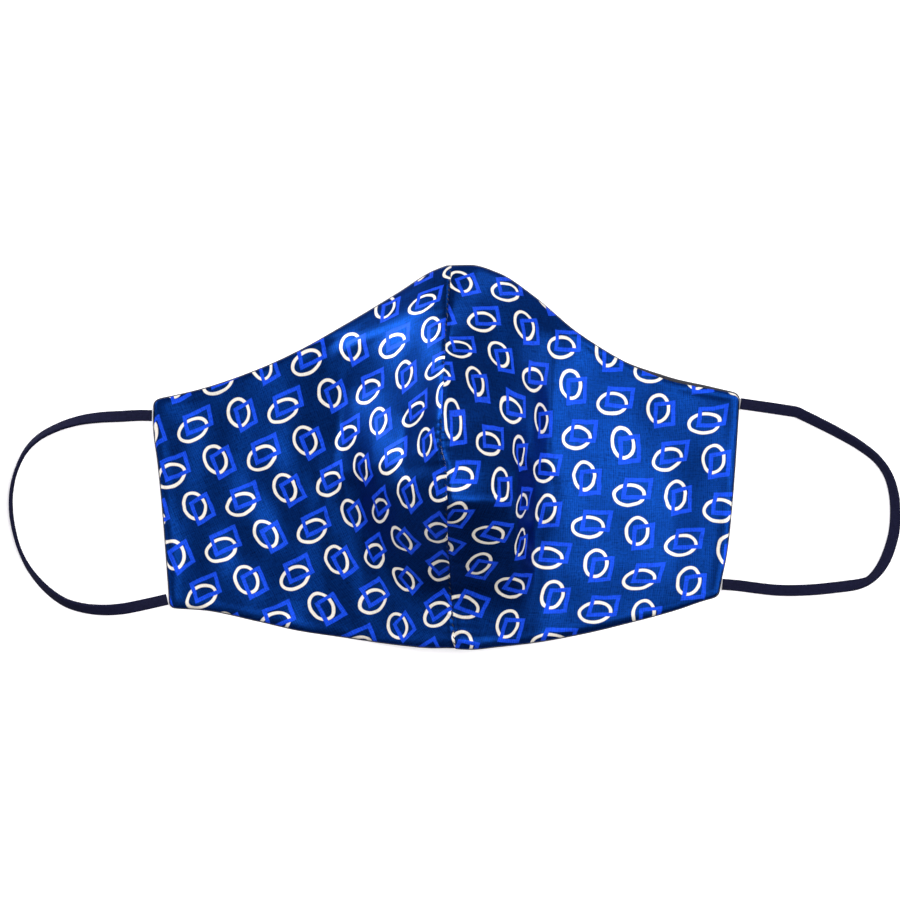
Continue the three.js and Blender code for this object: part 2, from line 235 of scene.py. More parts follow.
# How far the sewn and stretched cloth draws the print: x and y of a place on the panel, and
# the shift across and up there, all in millimetres. Between places the shifts are blended
# over the given reach, and far from all of them the least weight lets the shift fade out.
DRAWN_REACH = 9.0
LEAST_WEIGHT = 1e-6
DRAWN = {
    "left": (
        (-90, -25, 0.1, -0.3), (-88, 10, 0.4, -0.3), (-85, 25, -1.5, -0.5),
        (-76, -46, -1.1, 0.0), (-66, -13, 0.3, 0.7), (-58, 12, 0.9, 0.3),
        (-57, -47, -2.0, 0.7), (-50, -55, -3.0, 0.3), (-50, -29, -0.3, 0.8),
        (-42, -38, -0.8, 0.6), (-36, -21, -0.8, 0.4), (-38, -8, 0.2, 0.3),
        (-28, -55, -5.6, 0.7), (-21, -26, 3.3, 0.9), (-45, 24, -0.5, -0.2),
        (-36, 41, 0.7, -1.1), (-26, 14, 2.0, -0.1), (-23, 28, 0.4, -0.2),
        (-20, 40, -2.1, -0.8), (-15, -12, -1.9, -2.8), (-8, 6, -1.9, -3.6),
        (-2, 23, 0.2, -3.7), (-6, 49, -0.7, -1.9), (-9, 56, -0.8, 0.2),
        (-3, -27, -0.5, -2.2), (-3, -43, -2.0, -2.6), (-2, -60, -4.0, -2.4),
    ),
    "right": (
        (13, -40, 4.5, -1.5), (15, -29, 4.6, -2.2), (16, 5, -2.8, -4.4),
        (13, 51, -0.6, -5.5), (23, -62, 3.7, 0.7), (28, -26, 3.0, 0.6), (19, -9, 1.8, -2.7),
        (29, 3, -3.4, -2.1), (24, 44, -2.7, -5.1), (22, 61, 0.8, -4.1), (38, -45, 1.3, 0.6),
        (37, -19, 1.0, 0.7), (36, -6, -0.7, 0.1), (35, 15, -2.0, -1.5),
        (39, 28, -0.7, -1.9), (43, 41, 0.5, -1.9), (55, -59, 1.8, 0.5),
        (54, -33, 0.0, 0.8), (50, 0, 0.3, 0.1), (62, 20, 0.4, -0.9), (73, -57, 1.9, -0.5),
        (71, -37, -0.9, 1.2), (68, -5, -1.1, 1.3), (77, 24, 1.3, 0.1),
        (90, -40, -0.8, -0.2), (98, 0, -0.1, -0.8), (11, 29, -3.9, -9.8),
        (8, -59, 4.0, 0.1), (5, 64, 0.6, -4.8),
    ),
}

# Soft crests, and creases with a height under zero: x and y of both ends, height and
# width, all in millimetres.
FOLDS = (
    (2, -15.5, 21, -15.0, 1.6, 3.5),
    (22, -16, 25, -48, 1.4, 4.0),
    (-2, 14, -2, 0, 1.2, 3.5),
    (-14, 14, -15, -3, -1.4, 4.5),
    (-46, 33, -34, -8, -0.8, 6.0),
    (-38, -10, -20, -52, 1.0, 6.0),
    (-6, -7, -32, -9, 2.0, 9.0),
    (-18, 24, -38, 26, -1.2, 9.0),
)


class MaskCloth(bpy.types.PropertyGroup):
    """Sizes of the cloth's fine surface."""

    dome_columns: bpy.props.IntProperty(
        name="Dome columns", description="Divisions from the seam to the dome's foot",
        default=60, min=12,
    )
    wing_columns: bpy.props.IntProperty(
        name="Wing columns", description="Divisions across the flat wing", default=40, min=8
    )
    rows: bpy.props.IntProperty(
        name="Rows", description="Divisions from the bottom hem to the top hem",
        default=150, min=20,
    )
    hem_round: bpy.props.FloatProperty(
        name="Hem round", description="Radius of the turned hem", default=0.0009, unit="LENGTH"
    )
    seam_groove: bpy.props.FloatProperty(
        name="Seam groove", description="Depth of the crease along the seam",
        default=0.0007, unit="LENGTH",
    )
    pucker: bpy.props.FloatProperty(
        name="Pucker", description="Height of the gathers that the seam draws up",
        default=0.0003, unit="LENGTH",
    )


class MaskPrint(bpy.types.PropertyGroup):
    """Colours of the printed satin."""

    ground: bpy.props.FloatVectorProperty(
        name="Ground", description="Colour of the satin between the motifs",
        default=(0.0012, 0.0188, 0.122), subtype="COLOR", size=3, min=0, max=1,
    )
    ring: bpy.props.FloatVectorProperty(
        name="Ring", description="Colour of the printed rings", default=(0.71, 0.66, 0.59),
        subtype="COLOR", size=3, min=0, max=1,
    )
    frame: bpy.props.FloatVectorProperty(
        name="Frame", description="Colour of the printed frames", default=(0.007, 0.05, 0.56),
        subtype="COLOR", size=3, min=0, max=1,
    )


class MaskStitches(bpy.types.PropertyGroup):
    """Sizes of the seam's stitches."""

    pitch: bpy.props.FloatProperty(
        name="Pitch", description="Distance between stitches", default=0.0024, unit="LENGTH"
    )
    length: bpy.props.FloatProperty(
        name="Length", description="Length of one stitch", default=0.0017, unit="LENGTH"
    )
    thread: bpy.props.FloatProperty(
        name="Thread", description="Thickness of the thread", default=0.00034, unit="LENGTH"
    )


class MaskStage(bpy.types.PropertyGroup):
    """Camera and light."""

    distance: bpy.props.FloatProperty(
        name="Distance", description="Height of the camera over the floor",
        default=1.6, unit="LENGTH",
    )
    key_power: bpy.props.FloatProperty(
        name="Key power", description="Power of the low light from the left",
        default=58.0, unit="POWER",
    )
    fill_power: bpy.props.FloatProperty(
        name="Fill power", description="Power of the wide light overhead",
        default=58.0, unit="POWER",
    )


# Curves and grids

def unit(vectors):
    """Vectors of the same directions and of length 1."""
    return vectors / np.linalg.norm(vectors, axis=-1, keepdims=True)


def curve(places, values):
    """Smooth function through rising places that never overshoots its values."""
    places = np.asarray(places, float)
    values = np.asarray(values, float)
    steps = np.diff(places)
    slopes = np.diff(values) / steps
    tangents = np.concatenate([slopes[:1], np.zeros(len(slopes) - 1), slopes[-1:]])
    before = 2 * steps[1:] + steps[:-1]
    after = steps[1:] + 2 * steps[:-1]
    same = slopes[:-1] * slopes[1:] > 0
    low = np.where(same, slopes[:-1], 1)
    high = np.where(same, slopes[1:], 1)
    tangents[1:-1] = np.where(same, (before + after) / (before / low + after / high), 0)

    def value(at):
        at = np.clip(np.asarray(at, float), places[0], places[-1])
        i = np.clip(np.searchsorted(places, at, side="right") - 1, 0, len(steps) - 1)
        t = (at - places[i]) / steps[i]
        ends = (1 + 2 * t) * (1 - t) ** 2 * values[i] + t * t * (3 - 2 * t) * values[i + 1]
        pulls = t * (1 - t) ** 2 * tangents[i] + t * t * (t - 1) * tangents[i + 1]
        return ends + pulls * steps[i]

    return value


def seam_x(side, up):
    """Where a panel's sewn edge lies across the mask."""
    along = curve(SEAM_LINE["up"], SEAM_LINE["along"])(up)
    return HALF_WIDTH * along + DIRECTION[side] * PIECE_GAP / 2


def hem_x(side, up):
    """Where a panel's side hem lies across the mask."""
    return DIRECTION[side] * HALF_WIDTH * curve(SIDE_HEMS["up"], SIDE_HEMS[side])(up)


def panel_width(side, up):
    """Distance from a panel's sewn edge to its side hem."""
    return abs(hem_x(side, up) - seam_x(side, up))


def panel_points(side, distances, ups):
    """Points of the inner face, in rows up the panel and columns out from the seam.

    distances holds one row of distances for each share of the way up.
    """
    table = SECTIONS[side]
    places = [row[0] for row in table]
    heights = [curve(places, [row[1][k] for row in table]) for k in range(len(STATIONS))]
    top = curve(HEMS[side]["out"], HEMS[side]["top"])
    bottom = curve(HEMS[side]["out"], HEMS[side]["bottom"])
    points = np.zeros((len(ups), distances.shape[1], 3))
    for j, up in enumerate(ups):
        x = seam_x(side, up) + DIRECTION[side] * distances[j]
        out = np.maximum(x * DIRECTION[side], 0) / HALF_WIDTH
        inset = np.maximum(CORNER_RADIUS - (distances[j][-1] - distances[j]), 0)
        rounding = CORNER_RADIUS - np.sqrt(CORNER_RADIUS**2 - inset**2)
        high = HALF_HEIGHT * top(out) - rounding
        low = HALF_HEIGHT * bottom(out) + rounding
        section = curve(STATIONS, [height(up) for height in heights])
        points[j, :, 0] = x
        points[j, :, 1] = low + (high - low) * up
        points[j, :, 2] = RIDGE_HEIGHT * section(distances[j] / DOME_REACH)
    foot = np.clip(points[..., 2] / FOLD_FADE, 0, 1)
    points[..., 2] += foot * fold_height(points[..., 0], points[..., 1])
    return points


def row_shares(count):
    """Shares of the way up from 0 to 1, in even steps with closer ones beside the hems."""
    ends = np.asarray(EDGE_SHARES) * EDGE_BAND / MEAN_HEIGHT
    inner = np.linspace(ends[-1], 1 - ends[-1], count)
    return np.concatenate([ends[:-1], inner, 1 - ends[-2::-1]])


def panel_grid(side, cloth):
    """Fine grid over the inner face, with its lift on slopes and distances to the edges."""
    ups = row_shares(cloth.rows)
    near = np.asarray(EDGE_SHARES[:-1]) * EDGE_BAND
    dome = np.linspace(EDGE_BAND, DOME_REACH, cloth.dome_columns, endpoint=False)
    rows = []
    for up in ups:
        width = panel_width(side, up)
        wing = np.linspace(DOME_REACH, width - EDGE_BAND, cloth.wing_columns)
        rows.append(np.concatenate([near, dome, wing, width - near[::-1]]))
    distances = np.array(rows)
    points = panel_points(side, distances, ups)
    closing = np.clip(1 - distances / SEAM_CLOSING, 0, 1)
    points[..., 0] -= DIRECTION[side] * PIECE_GAP / 2 * closing
    normal = unit(np.cross(np.gradient(points, axis=1), np.gradient(points, axis=0)))
    lifts = 1 / np.maximum(np.abs(normal[..., 2]), 1 / STEEPEST_LIFT)
    tall = points[-1, :, 1] - points[0, :, 1]
    edges = {
        "seam": distances,
        "side": distances[:, -1:] - distances,
        "top": tall[None, :] * (1 - ups[:, None]),
        "bottom": tall[None, :] * ups[:, None],
    }
    return points, lifts, edges


# Cloth relief

def ripple(x, y, across, upward, seed):
    """Soft random relief between about -1 and 1, made of a few crossing waves."""
    random = np.random.default_rng(seed)
    total = np.zeros_like(x)
    for _ in range(WAVES):
        turn = random.uniform(0, math.tau)
        bend = random.uniform(*WAVE_RANGE)
        phase = random.uniform(0, math.tau)
        along = x / across * math.cos(turn) + y / upward * math.sin(turn)
        total += np.sin(along * bend * math.tau + phase)
    return total / math.sqrt(WAVES)


def fold_height(x, y):
    """Height that the crests and creases add at a place, in metres."""
    total = np.zeros_like(x)
    for x0, y0, x1, y1, tall, wide in FOLDS:
        run_x, run_y = (x1 - x0) * MM, (y1 - y0) * MM
        from_x, from_y = x - x0 * MM, y - y0 * MM
        share = np.clip((from_x * run_x + from_y * run_y) / (run_x**2 + run_y**2), 0, 1)
        away = np.hypot(from_x - share * run_x, from_y - share * run_y) / (wide * MM)
        total += tall * MM * np.exp(FOLD_ROUND - np.sqrt(away**2 + FOLD_ROUND**2))
    return total


def hem_drop(edges, cloth):
    """Distance to the nearest hem, and how far the turned hem rounds off there."""
    hem = np.minimum(np.minimum(edges["top"], edges["bottom"]), edges["side"])
    bend = np.clip(1 - hem / cloth.hem_round, 0, 1)
    return hem, cloth.hem_round * (1 - np.sqrt(1 - bend**2))


def relief(side, points, edges, cloth):
    """Fine height added to the outer face: hems, seam crease, gathers and soft wrinkles."""
    x, y = points[..., 0], points[..., 1]
    hem, drop = hem_drop(edges, cloth)
    height = HEM_RIDGE * np.exp(-(((hem - HEM_RIDGE_PLACE) / HEM_RIDGE_WIDTH) ** 2)) - drop
    seam = edges["seam"]
    height -= cloth.seam_groove * np.exp(-((seam / GROOVE_WIDTH) ** 2))
    bends = GATHER_BEND * ripple(x, y, *GATHER_BENDS)
    gathers = np.sin(y / GATHER_PITCH * math.tau + bends) * np.exp(-seam / GATHER_REACH)
    height += cloth.pucker * gathers * (0.5 + 0.5 * ripple(x, y, *GATHER_SIZES))
    across, upward, seed = WRINKLES
    calm = np.clip(hem / CALM_REACH, 0, 1)
    wrinkles = ripple(x, y, across, upward, seed + DIRECTION[side])
    return height + WRINKLE_HEIGHT * calm * wrinkles


def cell_corners(index):
    """Corners of every cell in a grid of point numbers, in order around the cell."""
    corners = index[:-1, :-1], index[:-1, 1:], index[1:, 1:], index[1:, :-1]
    return [corner.ravel() for corner in corners]


def cloth_mesh(name, vertices, faces, flat):
    """Smooth mesh with each vertex's place on its flat cloth as the UV map."""
    mesh = bpy.data.meshes.new(name)
    mesh.from_pydata(vertices.tolist(), [], faces)
    uv = mesh.uv_layers.new(name="cloth")
    corners = np.zeros(len(mesh.loops), np.int32)
    mesh.loops.foreach_get("vertex_index", corners)
    uv.data.foreach_set("uv", flat[corners].astype(np.float32).ravel())
    mesh.shade_smooth()
    mesh.update()
    return mesh


def shell_mesh(name, low, high, side, flat):
    """Closed wall between two grids of points, with a flat place for each grid point."""
    vertices = np.concatenate([low.reshape(-1, 3), high.reshape(-1, 3)])
    layer = len(vertices) // 2
    index = np.arange(layer).reshape(low.shape[:2])
    a, b, c, d = cell_corners(index)
    upper = np.stack([a, b, c, d], axis=1) + layer
    lower = np.stack([a, d, c, b], axis=1)
    rim = np.concatenate([index[0, :-1], index[:-1, -1], index[-1, :0:-1], index[:0:-1, 0]])
    following = np.roll(rim, -1)
    wall = np.stack([rim, following, following + layer, rim + layer], axis=1)
    faces = np.concatenate([upper, lower, wall])
    if DIRECTION[side] < 0:
        faces = faces[:, ::-1]
    return cloth_mesh(name, vertices, faces.tolist(), np.tile(flat.reshape(-1, 2), (2, 1)))


def unrolled(side):
    """Function that gives the place on the flat cloth for grid positions on the panel.

    The panel is flattened with as little stretch as its dome allows, and its wing stays
    where it lies. Places on the flat cloth are complex numbers until the end.
    """
    count = UNROLL_ROWS
    ups = np.linspace(0, 1, count)
    foot = UNROLL_WING_START * DOME_REACH
    dome = np.linspace(0, foot, UNROLL_DOME_COLUMNS, endpoint=False)
    wings = [np.linspace(foot, panel_width(side, up), UNROLL_WING_COLUMNS) for up in ups]
    distances = np.array([np.concatenate([dome, wing]) for wing in wings])
    total, columns = distances.size, distances.shape[1]
    points = panel_points(side, distances, ups).reshape(-1, 3)
    a, b, c, d = cell_corners(np.arange(total).reshape(count, columns))
    triangles = np.concatenate([np.stack([a, b, c], 1), np.stack([a, c, d], 1)])
    if DIRECTION[side] < 0:
        triangles = triangles[:, ::-1]
    first, second = (points[triangles[:, k]] - points[triangles[:, 0]] for k in (1, 2))
    base = np.linalg.norm(first, axis=1)
    along = (first * second).sum(1) / base
    apart = np.sqrt((second**2).sum(1) - along**2)
    own = np.stack([np.zeros(len(base)), base, along + 1j * apart], 1)
    matrix = np.zeros((total, total))
    corners = ((0, 1, 2), (1, 2, 0), (2, 0, 1))
    pulls = []
    for i, j, opposite in corners:
        angle = (own[:, i] - own[:, opposite]).conj() * (own[:, j] - own[:, opposite])
        weight = np.clip(angle.real / np.abs(angle.imag), *UNROLL_WEIGHTS)
        pulls.append(weight * (own[:, i] - own[:, j]))
        for m, n, sign in ((i, i, 1), (j, j, 1), (i, j, -1), (j, i, -1)):
            np.add.at(matrix, (triangles[:, m], triangles[:, n]), sign * weight)
    pinned = np.tile(np.arange(columns), count) >= UNROLL_DOME_COLUMNS
    free, fixed = np.flatnonzero(~pinned), np.flatnonzero(pinned)
    inverse = np.linalg.inv(matrix[np.ix_(free, free)])
    flat = points[:, 0] + 1j * points[:, 1]
    held = matrix[np.ix_(free, fixed)] @ flat[fixed]
    for _ in range(UNROLL_ROUNDS):
        now = flat[triangles]
        turn = sum(
            pull.conj() * (now[:, i] - now[:, j]) for pull, (i, j, _) in zip(pulls, corners)
        )
        total_pull = np.zeros(total, complex)
        for pull, (i, j, _) in zip(pulls, corners):
            turned = pull * turn / np.abs(turn)
            np.add.at(total_pull, triangles[:, i], turned)
            np.add.at(total_pull, triangles[:, j], -turned)
        flat[free] = inverse @ (total_pull[free] - held)
    grid = flat.reshape(count, columns)

    def place_on_cloth(fine_distances, fine_ups):
        rows_at = np.interp(fine_ups, ups, np.arange(count))
        low = np.clip(rows_at.astype(int), 0, count - 2)
        share = (rows_at - low)[:, None]
        own_rows = (1 - share) * distances[low] + share * distances[low + 1]
        places = (1 - share) * grid[low] + share * grid[low + 1]
        result = np.array([np.interp(*row) for row in zip(fine_distances, own_rows, places)])
        return np.stack([result.real, result.imag], axis=-1)

    return place_on_cloth


# Shader groups

def set_inputs(tree, node, inputs):
    """Links or sets a node's inputs, given by name or number."""
    for key, value in dict(inputs).items():
        if isinstance(value, bpy.types.NodeSocket):
            tree.links.new(value, node.inputs[key])
        else:
            node.inputs[key].default_value = value


def add_node(tree, kind, inputs=(), **settings):
    """New node with its settings and its inputs."""
    node = tree.nodes.new(kind)
    for name, value in settings.items():
        setattr(node, name, value)
    set_inputs(tree, node, inputs)
    return node


def math_node(tree, operation, *values):
    """Result of a sum with numbers or outputs."""
    return add_node(tree, "ShaderNodeMath", enumerate(values), operation=operation).outputs[0]


def vector_node(tree, operation, *values, output="Vector"):
    """Result of a sum with vectors."""
    node = add_node(tree, "ShaderNodeVectorMath", enumerate(values), operation=operation)
    return node.outputs[output]


def noise_node(tree, vector, scale, detail=2.0):
    """Soft noise in a given space."""
    inputs = {"Vector": vector, "Scale": scale, "Detail": detail}
    return add_node(tree, "ShaderNodeTexNoise", inputs)


def noise_tone(tree, vector, scale):
    """Noise about zero."""
    return math_node(tree, "SUBTRACT", noise_node(tree, vector, scale).outputs[0], 0.5)


def new_group(name, numbers, outputs):
    """Shader group that takes a place on the cloth and named numbers, and gives numbers."""
    tree = bpy.data.node_groups.new(name, "ShaderNodeTree")
    socket = tree.interface.new_socket
    socket("Cloth", in_out="INPUT", socket_type="NodeSocketVector")
    for label, default in numbers.items():
        socket(label, in_out="INPUT", socket_type="NodeSocketFloat").default_value = default
    for label in outputs:
        socket(label, in_out="OUTPUT", socket_type="NodeSocketFloat")
    source, result = tree.nodes.new("NodeGroupInput"), tree.nodes.new("NodeGroupOutput")
    return tree, source.outputs, result


def soft_edge(tree, distance, reach):
    """1 within reach of a line and 0 past it, with a soft edge."""
    return add_node(tree, "ShaderNodeMapRange", {
        "Value": distance, "From Min": reach - INK_EDGE, "From Max": reach + INK_EDGE,
        "To Min": 1, "To Max": 0,
    }, interpolation_type="SMOOTHSTEP").outputs["Result"]


def skew_shares(tree, place, first, second):
    """Shares of two slanted sides that add up to a place."""
    (ax, ay), (bx, by) = first, second
    area = ax * by - ay * bx
    rows = (by / area, -bx / area, 0), (-ay / area, ax / area, 0)
    return [vector_node(tree, "DOT_PRODUCT", place, row, output="Value") for row in rows]


# The printed repeat, in millimetres on the cloth. Two motifs stand at each point of the
# repeat: a ring that lies and a ring that stands, each crossed by a slanted frame.
REPEAT = ((14.65, 12.47), (34.2, -7.46))
MOTIFS = {
    "lying": {
        "ring": (0.0, 0.0), "radii": (5.62, 3.71), "tilt": 5.0,
        "frame": (3.04, 2.4), "half_across": (4.65, -0.04), "half_up": (0.58, 3.22),
        "middle": (0.75, 1.1),
    },
    "standing": {
        "ring": (3.19, -13.61), "radii": (3.9, 5.06), "tilt": -5.0,
        "frame": (5.44, -15.86), "half_across": (3.32, 0.39), "half_up": (0.26, 4.03),
        "middle": (4.3, -14.5),
    },
}
RING_STROKE = 1.15
FRAME_STROKE = 1.5
INK_EDGE = 0.12

# How far in millimetres the strokes waver, how finely, and the range in radians over which
# single rings turn.
WOBBLE = 0.48
WOBBLE_SCALE = 0.28
RING_SWAY = 0.14

# Slubs that vary the cloth's tone along, across and between its threads, and how much of a
# thread's own wave shows in the tone.
SLUBS = ((0.2, 2.4, 1), (2.4, 0.2, 1), (1.3, 1.3, 1))
THREAD_TONE = 0.12

# Knit of the elastic, in millimetres: half a rib, the slant and the pitch of the knots. The
# shares are the height of ribs and knots, and how much of a knot shows in the tone.
RIB_HALF = 0.3
KNOT_SLANT = 1.2
KNOT_PITCH = 0.62
RIB_HEIGHT = 3.0
KNOT_HEIGHT = 0.4
KNOT_TONE = 0.18


def print_group():
    """Masks of the rings and of the frames that cross them, drawn by hand-like strokes."""
    tree, source, result = new_group("printed_repeat", {}, ("Ring", "Frame"))
    noise = noise_node(tree, source["Cloth"], WOBBLE_SCALE, detail=0.0)
    centred = vector_node(tree, "SUBTRACT", noise.outputs["Color"], (0.5, 0.5, 0.5))
    inputs = {0: centred, "Scale": WOBBLE}
    scaled = add_node(tree, "ShaderNodeVectorMath", inputs, operation="SCALE").outputs[0]
    cloth = vector_node(tree, "ADD", source["Cloth"], scaled)

    rings, frames = [], []
    for motif in MOTIFS.values():
        local = vector_node(tree, "SUBTRACT", cloth, (*motif["middle"], 0))
        shares = skew_shares(tree, local, *REPEAT)
        across, upward = (math_node(tree, "ROUND", share) for share in shares)
        corner = {}
        for axis, a, b in zip("XY", *REPEAT):
            risen = math_node(tree, "MULTIPLY", upward, b)
            corner[axis] = math_node(tree, "MULTIPLY_ADD", across, a, risen)
        corner = add_node(tree, "ShaderNodeCombineXYZ", corner).outputs[0]
        own = vector_node(tree, "SUBTRACT", cloth, corner)

        white = add_node(
            tree, "ShaderNodeTexWhiteNoise", {"Vector": corner}, noise_dimensions="3D"
        ).outputs["Value"]
        level = math.radians(-motif["tilt"]) - RING_SWAY / 2
        sway = math_node(tree, "MULTIPLY_ADD", white, RING_SWAY, level)
        at_ring = vector_node(tree, "SUBTRACT", own, (*motif["ring"], 0))
        turned = add_node(
            tree, "ShaderNodeVectorRotate", {"Vector": at_ring, "Angle": sway},
            rotation_type="Z_AXIS",
        ).outputs[0]
        rx, ry = motif["radii"]
        unit = vector_node(tree, "MULTIPLY", turned, (1 / rx, 1 / ry, 0))
        steep = vector_node(tree, "MULTIPLY", turned, (1 / rx**2, 1 / ry**2, 0))
        near = vector_node(tree, "LENGTH", unit, output="Value")
        slope = vector_node(tree, "LENGTH", steep, output="Value")
        past = math_node(tree, "SUBTRACT", near, 1.0)
        distance = math_node(tree, "DIVIDE", math_node(tree, "MULTIPLY", near, past), slope)
        rings.append(soft_edge(tree, math_node(tree, "ABSOLUTE", distance), RING_STROKE / 2))

        at_frame = vector_node(tree, "SUBTRACT", own, (*motif["frame"], 0))
        sides = motif["half_across"], motif["half_up"]
        outs = []
        for k, share in enumerate(skew_shares(tree, at_frame, *sides)):
            past = math_node(tree, "SUBTRACT", math_node(tree, "ABSOLUTE", share), 1.0)
            outs.append(math_node(tree, "MULTIPLY", past, sides[k][k]))
        box = math_node(tree, "ABSOLUTE", math_node(tree, "MAXIMUM", *outs))
        frames.append(soft_edge(tree, box, FRAME_STROKE / 2))
    masks = {"Ring": rings, "Frame": frames}
    set_inputs(tree, result, {key: math_node(tree, "MAXIMUM", *masks[key]) for key in masks})
    return tree


def weave_group():
    """Threads of a woven cloth: their height and how their tone varies."""
    tree, source, result = new_group("woven_threads", {"Pitch": 0.7}, ("Height", "Tone"))
    cloth = source["Cloth"]
    separate = add_node(tree, "ShaderNodeSeparateXYZ", {0: cloth})
    waves = []
    for axis in "XY":
        turn = math_node(tree, "DIVIDE", separate.outputs[axis], source["Pitch"])
        waves.append(math_node(tree, "SINE", math_node(tree, "MULTIPLY", turn, math.tau)))
    stretched = [vector_node(tree, "MULTIPLY", cloth, slub) for slub in SLUBS]
    tones = [noise_tone(tree, place, scale=1.0) for place in stretched]
    blended = math_node(tree, "ADD", math_node(tree, "ADD", tones[0], tones[1]), tones[2])
    set_inputs(tree, result, {
        "Height": math_node(tree, "MULTIPLY", *waves),
        "Tone": math_node(tree, "MULTIPLY_ADD", waves[0], THREAD_TONE, blended),
    })
    return tree


def cloth_millimetres(tree):
    """The piece's own place on its flat cloth, in millimetres."""
    uv = add_node(tree, "ShaderNodeUVMap", uv_map="cloth")
    return vector_node(tree, "MULTIPLY", uv.outputs[0], (1 / MM, 1 / MM, 0))


def woven(tree, place, weave, pitch):
    """Outputs of the weave's group, for threads a given pitch in millimetres apart."""
    inputs = {"Cloth": place, "Pitch": pitch}
    return add_node(tree, "ShaderNodeGroup", inputs, node_tree=weave).outputs


def new_material(name):
    """New material with its node tree and its Principled shader."""
    material = bpy.data.materials.new(name)
    material.use_nodes = True
    tree = material.node_tree
    return material, tree, tree.nodes["Principled BSDF"]


def mix_colour(tree, factor, first, second):
    """First colour where the factor is 0, and the second where it is 1."""
    inputs = {0: factor, 6: first, 7: second}
    return add_node(tree, "ShaderNodeMix", inputs, data_type="RGBA").outputs[2]


def between(tree, factor, first, second):
    """First number where the factor is 0, and the second where it is 1."""
    return math_node(tree, "MULTIPLY_ADD", factor, second - first, first)


def shaded(tree, colour, tone, amount):
    """A colour made a little lighter or darker by a tone about zero."""
    value = math_node(tree, "MULTIPLY_ADD", tone, amount, 1.0)
    node = add_node(tree, "ShaderNodeHueSaturation", {"Value": value, "Color": colour})
    return node.outputs["Color"]


def bumped(tree, height, strength, distance):
    """Normals of a surface raised by a height, over a distance in metres."""
    inputs = {"Height": height, "Strength": strength, "Distance": distance}
    return add_node(tree, "ShaderNodeBump", inputs).outputs[0]


# Where the repeat starts on each panel, in millimetres, and how far it is turned.
PRINT_PLACES = {"left": ((-76.8, -17.4), 25.0), "right": ((67.4, -13.0), 0.0)}


def satin_material(side, colours, repeat, weave):
    """Printed satin: a dark ground whose gloss carries its colour, cream rings, blue frames."""
    material, tree, shader = new_material(f"printed_satin_{side}")
    (start_x, start_y), turn = PRINT_PLACES[side]
    place = add_node(tree, "ShaderNodeMapping", {
        "Vector": cloth_millimetres(tree),
        "Location": (start_x, start_y, 0),
        "Rotation": (0, 0, math.radians(turn)),
    }, vector_type="TEXTURE").outputs[0]
    printed = add_node(tree, "ShaderNodeGroup", {"Cloth": place}, node_tree=repeat).outputs
    threads = woven(tree, place, weave, pitch=0.78)
    tone = threads["Tone"]
    ground = shaded(tree, (*colours.ground, 1), tone, amount=1.1)
    ring = shaded(tree, (*colours.ring, 1), tone, amount=0.25)
    framed = shaded(tree, (*colours.frame, 1), tone, amount=0.8)
    with_ring = mix_colour(tree, printed["Ring"], ground, ring)
    ink = math_node(tree, "MAXIMUM", printed["Ring"], printed["Frame"])
    height = math_node(tree, "ADD", threads["Height"], tone)
    # The numbers of each pair hold on the bare ground and on the ink.
    set_inputs(tree, shader, {
        "Base Color": mix_colour(tree, printed["Frame"], with_ring, framed),
        "Metallic": between(tree, ink, 0.85, 0.25),
        "Roughness": between(tree, ink, 0.39, 0.45),
        "Specular IOR Level": 0.2,
        "Specular Tint": (0.12, 0.5, 1, 1),
        "Normal": bumped(tree, height, strength=0.25, distance=0.00004),
    })
    return material


def lining_material(weave):
    """Matt, nearly black plain-woven cotton."""
    material, tree, shader = new_material("dark_lining")
    threads = woven(tree, cloth_millimetres(tree), weave, pitch=0.7)
    set_inputs(tree, shader, {
        "Base Color": shaded(tree, (0.012, 0.012, 0.02, 1), threads["Tone"], amount=1.2),
        "Roughness": 0.85,
        "Sheen Weight": 0.25,
        "Sheen Roughness": 0.5,
        "Normal": bumped(tree, threads["Height"], strength=0.6, distance=0.0001),
    })
    return material


def elastic_material():
    """Knitted elastic: dark, with ribs along it and small slanted knots across each rib."""
    material, tree, shader = new_material("knitted_elastic")
    cloth = cloth_millimetres(tree)
    place = add_node(tree, "ShaderNodeSeparateXYZ", {0: cloth}).outputs
    rib = math_node(tree, "PINGPONG", place["Y"], RIB_HALF)
    slant = math_node(tree, "MULTIPLY_ADD", rib, KNOT_SLANT, place["X"])
    knots = math_node(tree, "SINE", math_node(tree, "MULTIPLY", slant, math.tau / KNOT_PITCH))
    raised_rib = math_node(tree, "MULTIPLY", rib, RIB_HEIGHT)
    height = math_node(tree, "MULTIPLY_ADD", knots, KNOT_HEIGHT, raised_rib)
    tone = math_node(tree, "MULTIPLY_ADD", knots, KNOT_TONE, noise_tone(tree, cloth, scale=0.8))
    set_inputs(tree, shader, {
        "Base Color": shaded(tree, (0.0065, 0.0075, 0.0225, 1), tone, amount=0.8),
        "Roughness": 0.75,
        "Specular IOR Level": 0.1,
        "Specular Tint": (0.6, 0.5, 1, 1),
        "Normal": bumped(tree, height, strength=0.7, distance=0.00015),
    })
    return material


def thread_material():
    """Dark sewing thread."""
    material, tree, shader = new_material("seam_thread")
    place = add_node(tree, "ShaderNodeTexCoord").outputs["Object"]
    colour = shaded(tree, (0.004, 0.006, 0.014, 1), noise_tone(tree, place, scale=900), amount=1.2)
    set_inputs(tree, shader, {"Base Color": colour, "Roughness": 0.6})
    return material


# Pieces

def add_piece(name, mesh, material):
    """New object in the scene with its one material."""
    piece = bpy.data.objects.new(name, mesh)
    bpy.context.scene.collection.objects.link(piece)
    piece.data.materials.clear()
    piece.data.materials.append(material)
    return piece


def shared_group(name, make):
    """Node group by its name, made at its first use."""
    return bpy.data.node_groups.get(name) or make()


